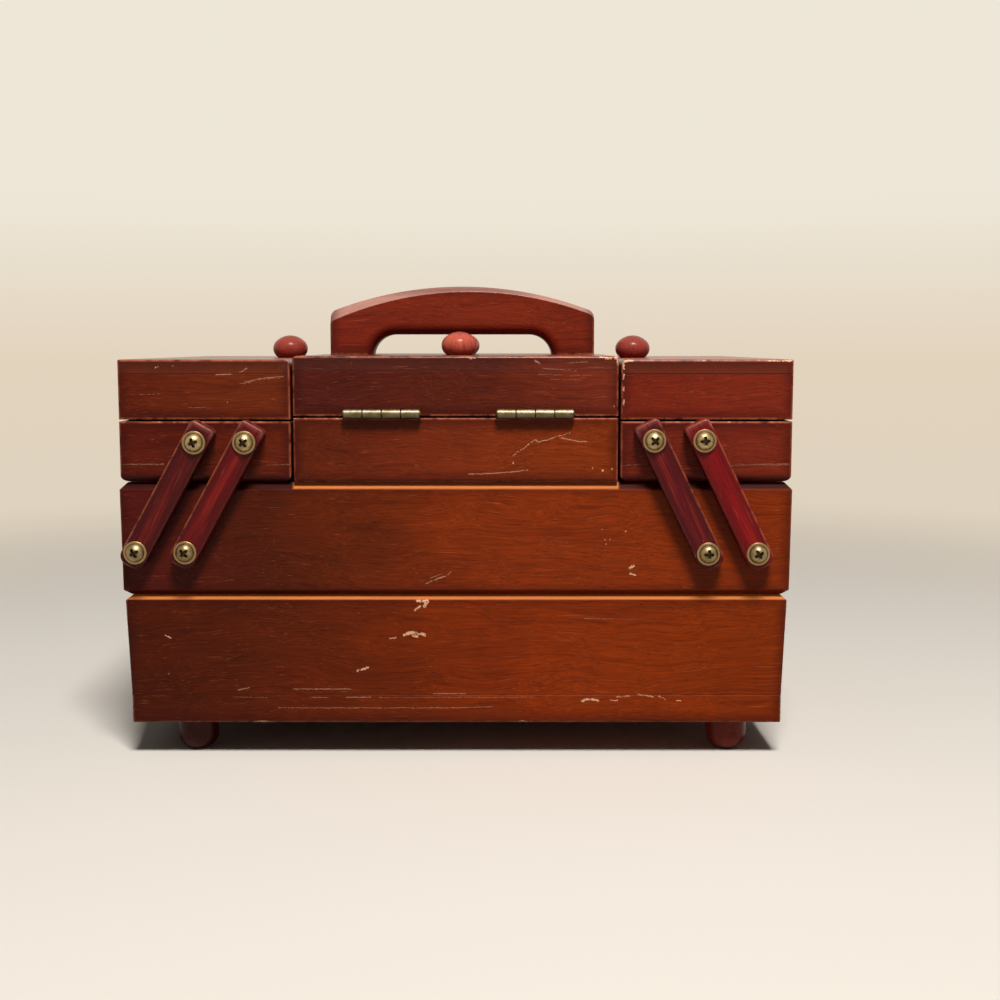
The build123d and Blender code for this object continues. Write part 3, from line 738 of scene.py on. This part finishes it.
def arm_wood():
    """The eight arms: those in front and behind are of the same tone."""
    tones = {
        "left": {"outer": tone(78, 21, 22), "inner": tone(98, 19, 23)},
        "right": {"inner": tone(90, 21, 27), "outer": tone(130, 20, 25)},
    }
    for number, (side, lean) in enumerate(ARM_LEANS.items()):
        for arm, (x, z) in lower_pivots(side).items():
            for face, way in (("front", -1), ("back", 1)):
                near, far = sorted(way * level for level in ARM_FACES)
                wood(
                    f"{side}_{face}_{arm}_arm_wood",
                    [f"{side}_{face}_{arm}_arm"],
                    plain(tones[side][arm]),
                    "z",
                    wear=0.36,
                    low=(-ARM_HALF_WIDTH, near, ARM_ENDS[0]),
                    high=(ARM_HALF_WIDTH, far, ARM_ENDS[1]),
                    seed=1811 + 50 * number + way + (7 if arm == "inner" else 0),
                    turned=(x, z, lean),
                    gloss=0.2,
                )


def plain(colour):
    """A stain of one colour all along."""
    return [(-1, colour), (1, colour)]


def knob_and_foot_wood():
    """The pieces that were turned on a lathe."""
    for number, face in enumerate(("left", "right", "front", "back")):
        stain = plain(tone(136, 54, 44) if face in ("left", "right") else tone(178, 80, 62))
        seed = 2003 + 31 * number
        wood(f"{face}_knob_wood", [f"{face}_lid_knob"], stain, "z", seed=seed, gloss=0.3)
    wood("foot_wood", ["feet"], FOOT_STAIN_AND_SHADE, "z", seed=2203, gloss=0.1)


# Brass

SCREW_BRASS = (0.62, 0.46, 0.25), (0.40, 0.285, 0.125)  # where it is newer and where older
HINGE_BRASS = (0.62, 0.54, 0.37), (0.40, 0.31, 0.15)
BRONZE = (0.36, 0.225, 0.10, 1.0)
BARREL_PAINTED_SHADE = (0.10, 0.068, 0.035, 1.0)
SPECKS = (0.12, 0.08, 0.035, 1.0)
RECESS_DIRT = (0.10, 0.075, 0.03, 1.0)
RING_GRIME = (0.06, 0.04, 0.02, 1.0)
BLACK_GRIME_AND_SHADE = (0.035, 0.022, 0.012, 1.0)


class Brass(Finish):
    """Aged brass, brown in its hollows. bright scales its newer and its older colour."""

    def __init__(self, name, metal, bright, seed):
        super().__init__(name, Metallic=1.0)
        self.cloud = self.patches(self.place, (0.5, 0.5, 0.5), detail=4, seed=seed, rough=0.6)
        self.fine = self.patches(self.place, (3.1, 3.1, 3.1), detail=3, seed=seed + 5)
        newer, older = [(*(bright * part for part in colour), 1.0) for colour in metal]
        self.colour = self.mix(self.cloud.rise(0.62, 0.38), newer, older)
        self.paint(self.fine.rise(0.62, 0.76) * 0.3, SPECKS)

    def shade_barrels(self, axis, first, last, height):
        """A pair of hinges, by their middles along an axis and the height of their pin.

        Their barrels are darker below the pin, a painted shade, and dark where their knuckles
        meet, a painted shade in the splits, at whole knuckles from the middle of each hinge.
        """
        parts = self.axes(self.place)
        middle = first + (last - first) * parts[axis].rise(-1.0, 1.0)
        lower = parts[2].rise(height + 0.5, height - 0.9)
        # painted shade on the lower half of each barrel
        self.paint(lower * 0.75, BARREL_PAINTED_SHADE)
        # painted shade in the splits between the knuckles
        turns = self.maths("FRACT", (parts[axis] - middle) / KNUCKLE + 0.5)
        split = (abs(turns - 0.5) * KNUCKLE).rise(0.42, 0.1)
        self.paint(split * 0.8, BLACK_GRIME_AND_SHADE)

    def age_heads(self, centres):
        """Pivot heads at (x, z): a bronze ring, a grimy line round the dome, a dirty recess.

        The dome is part of a ball, so what lies under the ball's surface is in the recess.
        """
        flat = self.vector("MULTIPLY", self.place, (1, 0, 1))
        radius = None
        for x, z in centres:
            here = self.vector("DISTANCE", flat, (x, 0, z))
            radius = here if radius is None else radius.least(here)
        self.paint(radius.rise(2.72, 2.9) * 0.75, BRONZE)
        line = radius.rise(2.5, 2.84) * radius.rise(3.12, 2.94)
        self.paint(line * 0.7, RING_GRIME)
        self.paint(radius.rise(1.8, 0.9) * (0.3 + 0.5 * self.fine.rise(0.4, 0.58)), RECESS_DIRT)
        out = abs(self.axes(self.place)[1])
        ball = self.maths("SQRT", (DOME_RADIUS**2 - radius * radius).most(0.01))
        sunk = (DOME_MIDDLE + ball - out).rise(0.1, 0.45) * radius.rise(2.3, 2.0)
        # black grime in the screw's recess
        self.paint(sunk * 0.9, BLACK_GRIME_AND_SHADE)

    def polish(self, *nodes):
        """Feeds the shader and puts the brass on CAD nodes."""
        self.link("Base Color", self.colour)
        self.link("Roughness", 0.25 + 0.16 * self.cloud + 0.12 * self.fine)
        self.bump(self.fine, 0.02)
        self.cover(*nodes)


def pivot_screw_brass():
    """The lower pivot screws, on the middle tier, and the upper ones, on the trays."""
    lower = [place for side in ARM_LEANS for place in lower_pivots(side).values()]
    brass = Brass("lower_screw_brass", SCREW_BRASS, bright=0.56, seed=3)
    brass.age_heads(lower)
    brass.polish("lower_pivot_screws")
    for side, lean in ARM_LEANS.items():
        run, rise = ARM_LENGTH * sin(radians(lean)), ARM_LENGTH * cos(radians(lean))
        brass = Brass(f"{side}_screw_brass", SCREW_BRASS, bright=0.78, seed=5)
        brass.age_heads([(x + run, z + rise) for x, z in lower_pivots(side).values()])
        brass.polish(f"{side}_tray_pivot_screws")


def hinge_middles(face, axis):
    """Where the middles of a lid's two hinges are along their axis."""
    low, high = corners(f"{face}_lid_hinge_leaves")
    return low[axis] + HINGE_LENGTH / 2, high[axis] - HINGE_LENGTH / 2


def hinge_brass():
    """The leaves and pins of the hinges."""
    centre = ["centre_hinge_leaves_and_pins", "front_lid_hinge_leaves", "back_lid_hinge_leaves"]
    left = ["left_tray_hinge_leaves_and_pins", "left_lid_hinge_leaves"]
    right = ["right_tray_hinge_leaves_and_pins", "right_lid_hinge_leaves"]
    hinges = (("centre", "front", 0, centre), ("left", "left", 1, left), ("right", "right", 1, right))
    for name, face, axis, nodes in hinges:
        brass = Brass(f"{name}_hinge_brass", HINGE_BRASS, bright=0.37, seed=9)
        height = JOINTS[f"{face}_lid_hinge"][2]
        brass.shade_barrels(axis, *hinge_middles(face, axis), height)
        brass.polish(*nodes)


def hidden_screw_brass():
    """The wood screws that hold the handle, the feet and the knobs."""
    knobs = [f"{face}_lid_knob_screw" for face in ("left", "right", "front", "back")]
    brass = Brass("small_screw_brass", SCREW_BRASS, bright=0.9, seed=13)
    brass.polish("handle_screws", "foot_screws", *knobs)


# The screws of the hinges' leaves, which the CAD leaves out


def surface(name, grids, finish):
    """One mesh from grids of points (rows, columns, 3), closed around their columns."""
    points, faces, count = [], [], 0
    for grid in grids:
        rows, columns = grid.shape[:2]
        index = count + np.arange(rows * columns).reshape(rows, columns)
        after = np.roll(index, -1, axis=1)
        quads = np.stack((index[:-1], index[1:], after[1:], after[:-1]), axis=-1)
        points.append(grid.reshape(-1, 3))
        faces.append(quads.reshape(-1, 4))
        count += rows * columns
    points = np.concatenate(points)
    faces = np.concatenate(faces)
    mesh = bpy.data.meshes.new(name)
    mesh.from_pydata(points.tolist(), [], faces.tolist())
    mesh.update()
    mesh.polygons.foreach_set("use_smooth", np.ones(len(faces), dtype=bool))
    piece = bpy.data.objects.new(name, mesh)
    bpy.context.scene.collection.objects.link(piece)
    mesh.materials.append(finish.material)
    return piece


def screw_head(x, y, z, up, turn, radius=1.15, proud=0.06, slot=0.22, side=0.15):
    """The head of a small countersunk screw at (x, y, z), in millimetres.

    A grid over the share s from the middle to the rim and the angle a. Its height is proud
    times 1 - s squared, less the slot's depth within 0.18 of its middle line, and less a
    falling part of it up to 0.24. The last row goes down by side, so the head has a side.
    """
    shares = np.append(np.linspace(0.02, 1.0, 16), 1.0)
    angles = np.linspace(0, 2 * pi, 40, endpoint=False)
    share, angle = np.meshgrid(shares, angles, indexing="ij")
    across, along = radius * share * np.cos(angle), radius * share * np.sin(angle)
    off_line = np.abs(across * cos(turn) + along * sin(turn))
    height = proud * (1 - share**2) - slot * np.clip((0.24 - off_line) / 0.06, 0, 1)
    height[-1] = -side
    grid = np.stack((x + across, y + along * up, z + height * up), axis=-1)
    return grid / 1000


def hinge_screws():
    """Two screws in each leaf of each hinge: the fixed leaf's face up, the moving leaf's down."""
    rng = np.random.default_rng(11)
    carriers = {"front": "carrier", "back": "carrier", "left": "left_tray", "right": "right_tray"}
    fixed, moving = {}, {}
    for face, carrier_body in carriers.items():
        seam_top = corners(f"{face}_lid_rim_boards")[0][2]
        on_tray = face in ("left", "right")
        along, outwards = (1, 0) if on_tray else (0, 1)
        way = -1 if face in ("left", "front") else 1
        edge = TRAY_END if on_tray else -FRONT
        for middle in hinge_middles(face, along):
            for step in (-SCREW_STEP, SCREW_STEP):
                spot = [0.0, 0.0]
                spot[along] = middle + step
                spot[outwards] = way * (edge - SCREW_INSET)
                turns = rng.uniform(0, pi, 2)
                lower = screw_head(*spot, seam_top - LEAF_GAP, 1, turns[0])
                upper = screw_head(*spot, seam_top, -1, turns[1])
                fixed.setdefault(carrier_body, []).append(lower)
                moving.setdefault(f"{face}_lid", []).append(upper)
    brass = Brass("hinge_screw_brass", SCREW_BRASS, bright=0.8, seed=17)
    brass.polish()
    for body, grids in {**fixed, **moving}.items():
        name = "centre_hinge_screws" if body == "carrier" else f"{body}_hinge_screws"
        piece = surface(name, grids, brass)
        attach(piece, body)


# Floor, light and camera

WARM_WHITE = (1.0, 0.99, 0.97)
PALE_WALL = (0.855, 0.80, 0.69, 1.0)
WALL_COLOURS = [(0.0, (0.74, 0.645, 0.515, 1.0)), (0.32, (0.765, 0.65, 0.51, 1.0)), (1.0, PALE_WALL)]
WALL_RISE = 340.0  # millimetres of height from the first of them to the last


def seen_share(finish):
    """1 for rays of the camera, of reflections and through glass, else 0."""
    rays = finish.add("ShaderNodeLightPath").outputs
    seen = Amount(finish, rays["Is Camera Ray"]) + Amount(finish, rays["Is Glossy Ray"])
    return (seen + Amount(finish, rays["Is Transmission Ray"])).least(1.0)


def cove(flat=0.9, bend=0.8, top=1.3):
    """A pale floor that curves up into a round wall, in metres.

    A profile turned about the middle: flat that far out, then a quarter circle of the radius
    bend that ends upright, then straight up to the top.
    """
    turn = np.linspace(0, pi / 2, 24)
    radii = np.concatenate(([0.002, 0.3, 0.6], flat + bend * np.sin(turn), [flat + bend]))
    heights = np.concatenate(([0, 0, 0], bend - bend * np.cos(turn), [top]))
    angle = np.linspace(0, 2 * pi, 96, endpoint=False)
    upright = np.repeat(heights[:, None], len(angle), 1)
    across, deep = radii[:, None] * np.cos(angle), radii[:, None] * np.sin(angle)
    grid = np.stack((across, deep, upright), axis=-1)
    finish = Finish("pale_cove", **{"Roughness": 0.85, "Specular IOR Level": 0.15})
    cloud = finish.patches(finish.place, (0.004, 0.004, 0.004), detail=2)
    pale = finish.mix(cloud, (0.79, 0.735, 0.66, 1.0), (0.82, 0.765, 0.69, 1.0))
    # pale to the eye and in reflections, and plain grey where it only passes light on
    seen = seen_share(finish)
    finish.link("Base Color", finish.mix(seen, (0.3, 0.29, 0.28, 1.0), pale))
    wall = finish.vector("LENGTH", finish.place).rise(220.0, 760.0)
    warm = finish.ramp(finish.axes(finish.place)[2] / WALL_RISE, WALL_COLOURS)
    glow = finish.add("ShaderNodeEmission", {}, {"Color": warm, "Strength": 1.0})
    ends = {0: seen * wall, 1: finish.shader.outputs["BSDF"], 2: glow.outputs["Emission"]}
    both = finish.add("ShaderNodeMixShader", {}, ends)
    finish.link("Surface", both.outputs["Shader"], finish.output)
    floor = surface("pale_cove", [grid[::-1]], finish)


class Room(Finish):
    """The room beyond the cove: a weak even light, and pale to the eye and in reflections."""

    def __init__(self, world):
        self.clear(world)
        weak = {"Color": (*WARM_WHITE, 1.0), "Strength": 0.085}
        light = self.add("ShaderNodeBackground", {}, weak)
        pale = self.add("ShaderNodeBackground", {}, {"Color": PALE_WALL, "Strength": 0.9})
        ends = {0: seen_share(self), 1: light.outputs[0], 2: pale.outputs[0]}
        both = self.add("ShaderNodeMixShader", {}, ends)
        self.add("ShaderNodeOutputWorld", {}, {"Surface": both.outputs[0]})


def studio():
    """One softbox above and a little in front, pointed at the carrier, and an even room."""
    lamp = bpy.data.lights.new("overhead", "AREA")
    lamp.shape = "RECTANGLE"
    lamp.size, lamp.size_y = 0.35, 0.27
    lamp.energy = 20.0
    lamp.color = WARM_WHITE
    softbox = bpy.data.objects.new("overhead", lamp)
    bpy.context.scene.collection.objects.link(softbox)
    place, target = Vector((0.12, -0.72, 1.2)), Vector((0, 0, 0.05))
    softbox.location = place
    softbox.rotation_euler = (target - place).to_track_quat("-Z", "Y").to_euler()
    world = bpy.data.worlds.new("room")
    bpy.context.scene.world = world
    Room(world)
    bpy.context.scene.view_settings.view_transform = "Standard"


def camera():
    """The photograph's view: its focal length, in pixels of its own frame, and its eye."""
    focal_length, frame_width = 1400, 1000
    pitch = 6.32  # degrees below the level
    lens = bpy.data.cameras.new("camera")
    lens.sensor_width = 36.0
    lens.lens = lens.sensor_width * focal_length / frame_width
    lens.clip_start = 0.01
    holder = bpy.data.objects.new("camera", lens)
    bpy.context.scene.collection.objects.link(holder)
    holder.location = (0.01395, -0.510, 0.13183)
    holder.rotation_euler = (radians(90 - pitch), 0, 0)
    bpy.context.scene.camera = holder


camera()
carcass_wood()
tray_wood()
lid_wood()
handle_wood()
arm_wood()
knob_and_foot_wood()
pivot_screw_brass()
hinge_brass()
hidden_screw_brass()
hinge_screws()
cove()
studio()
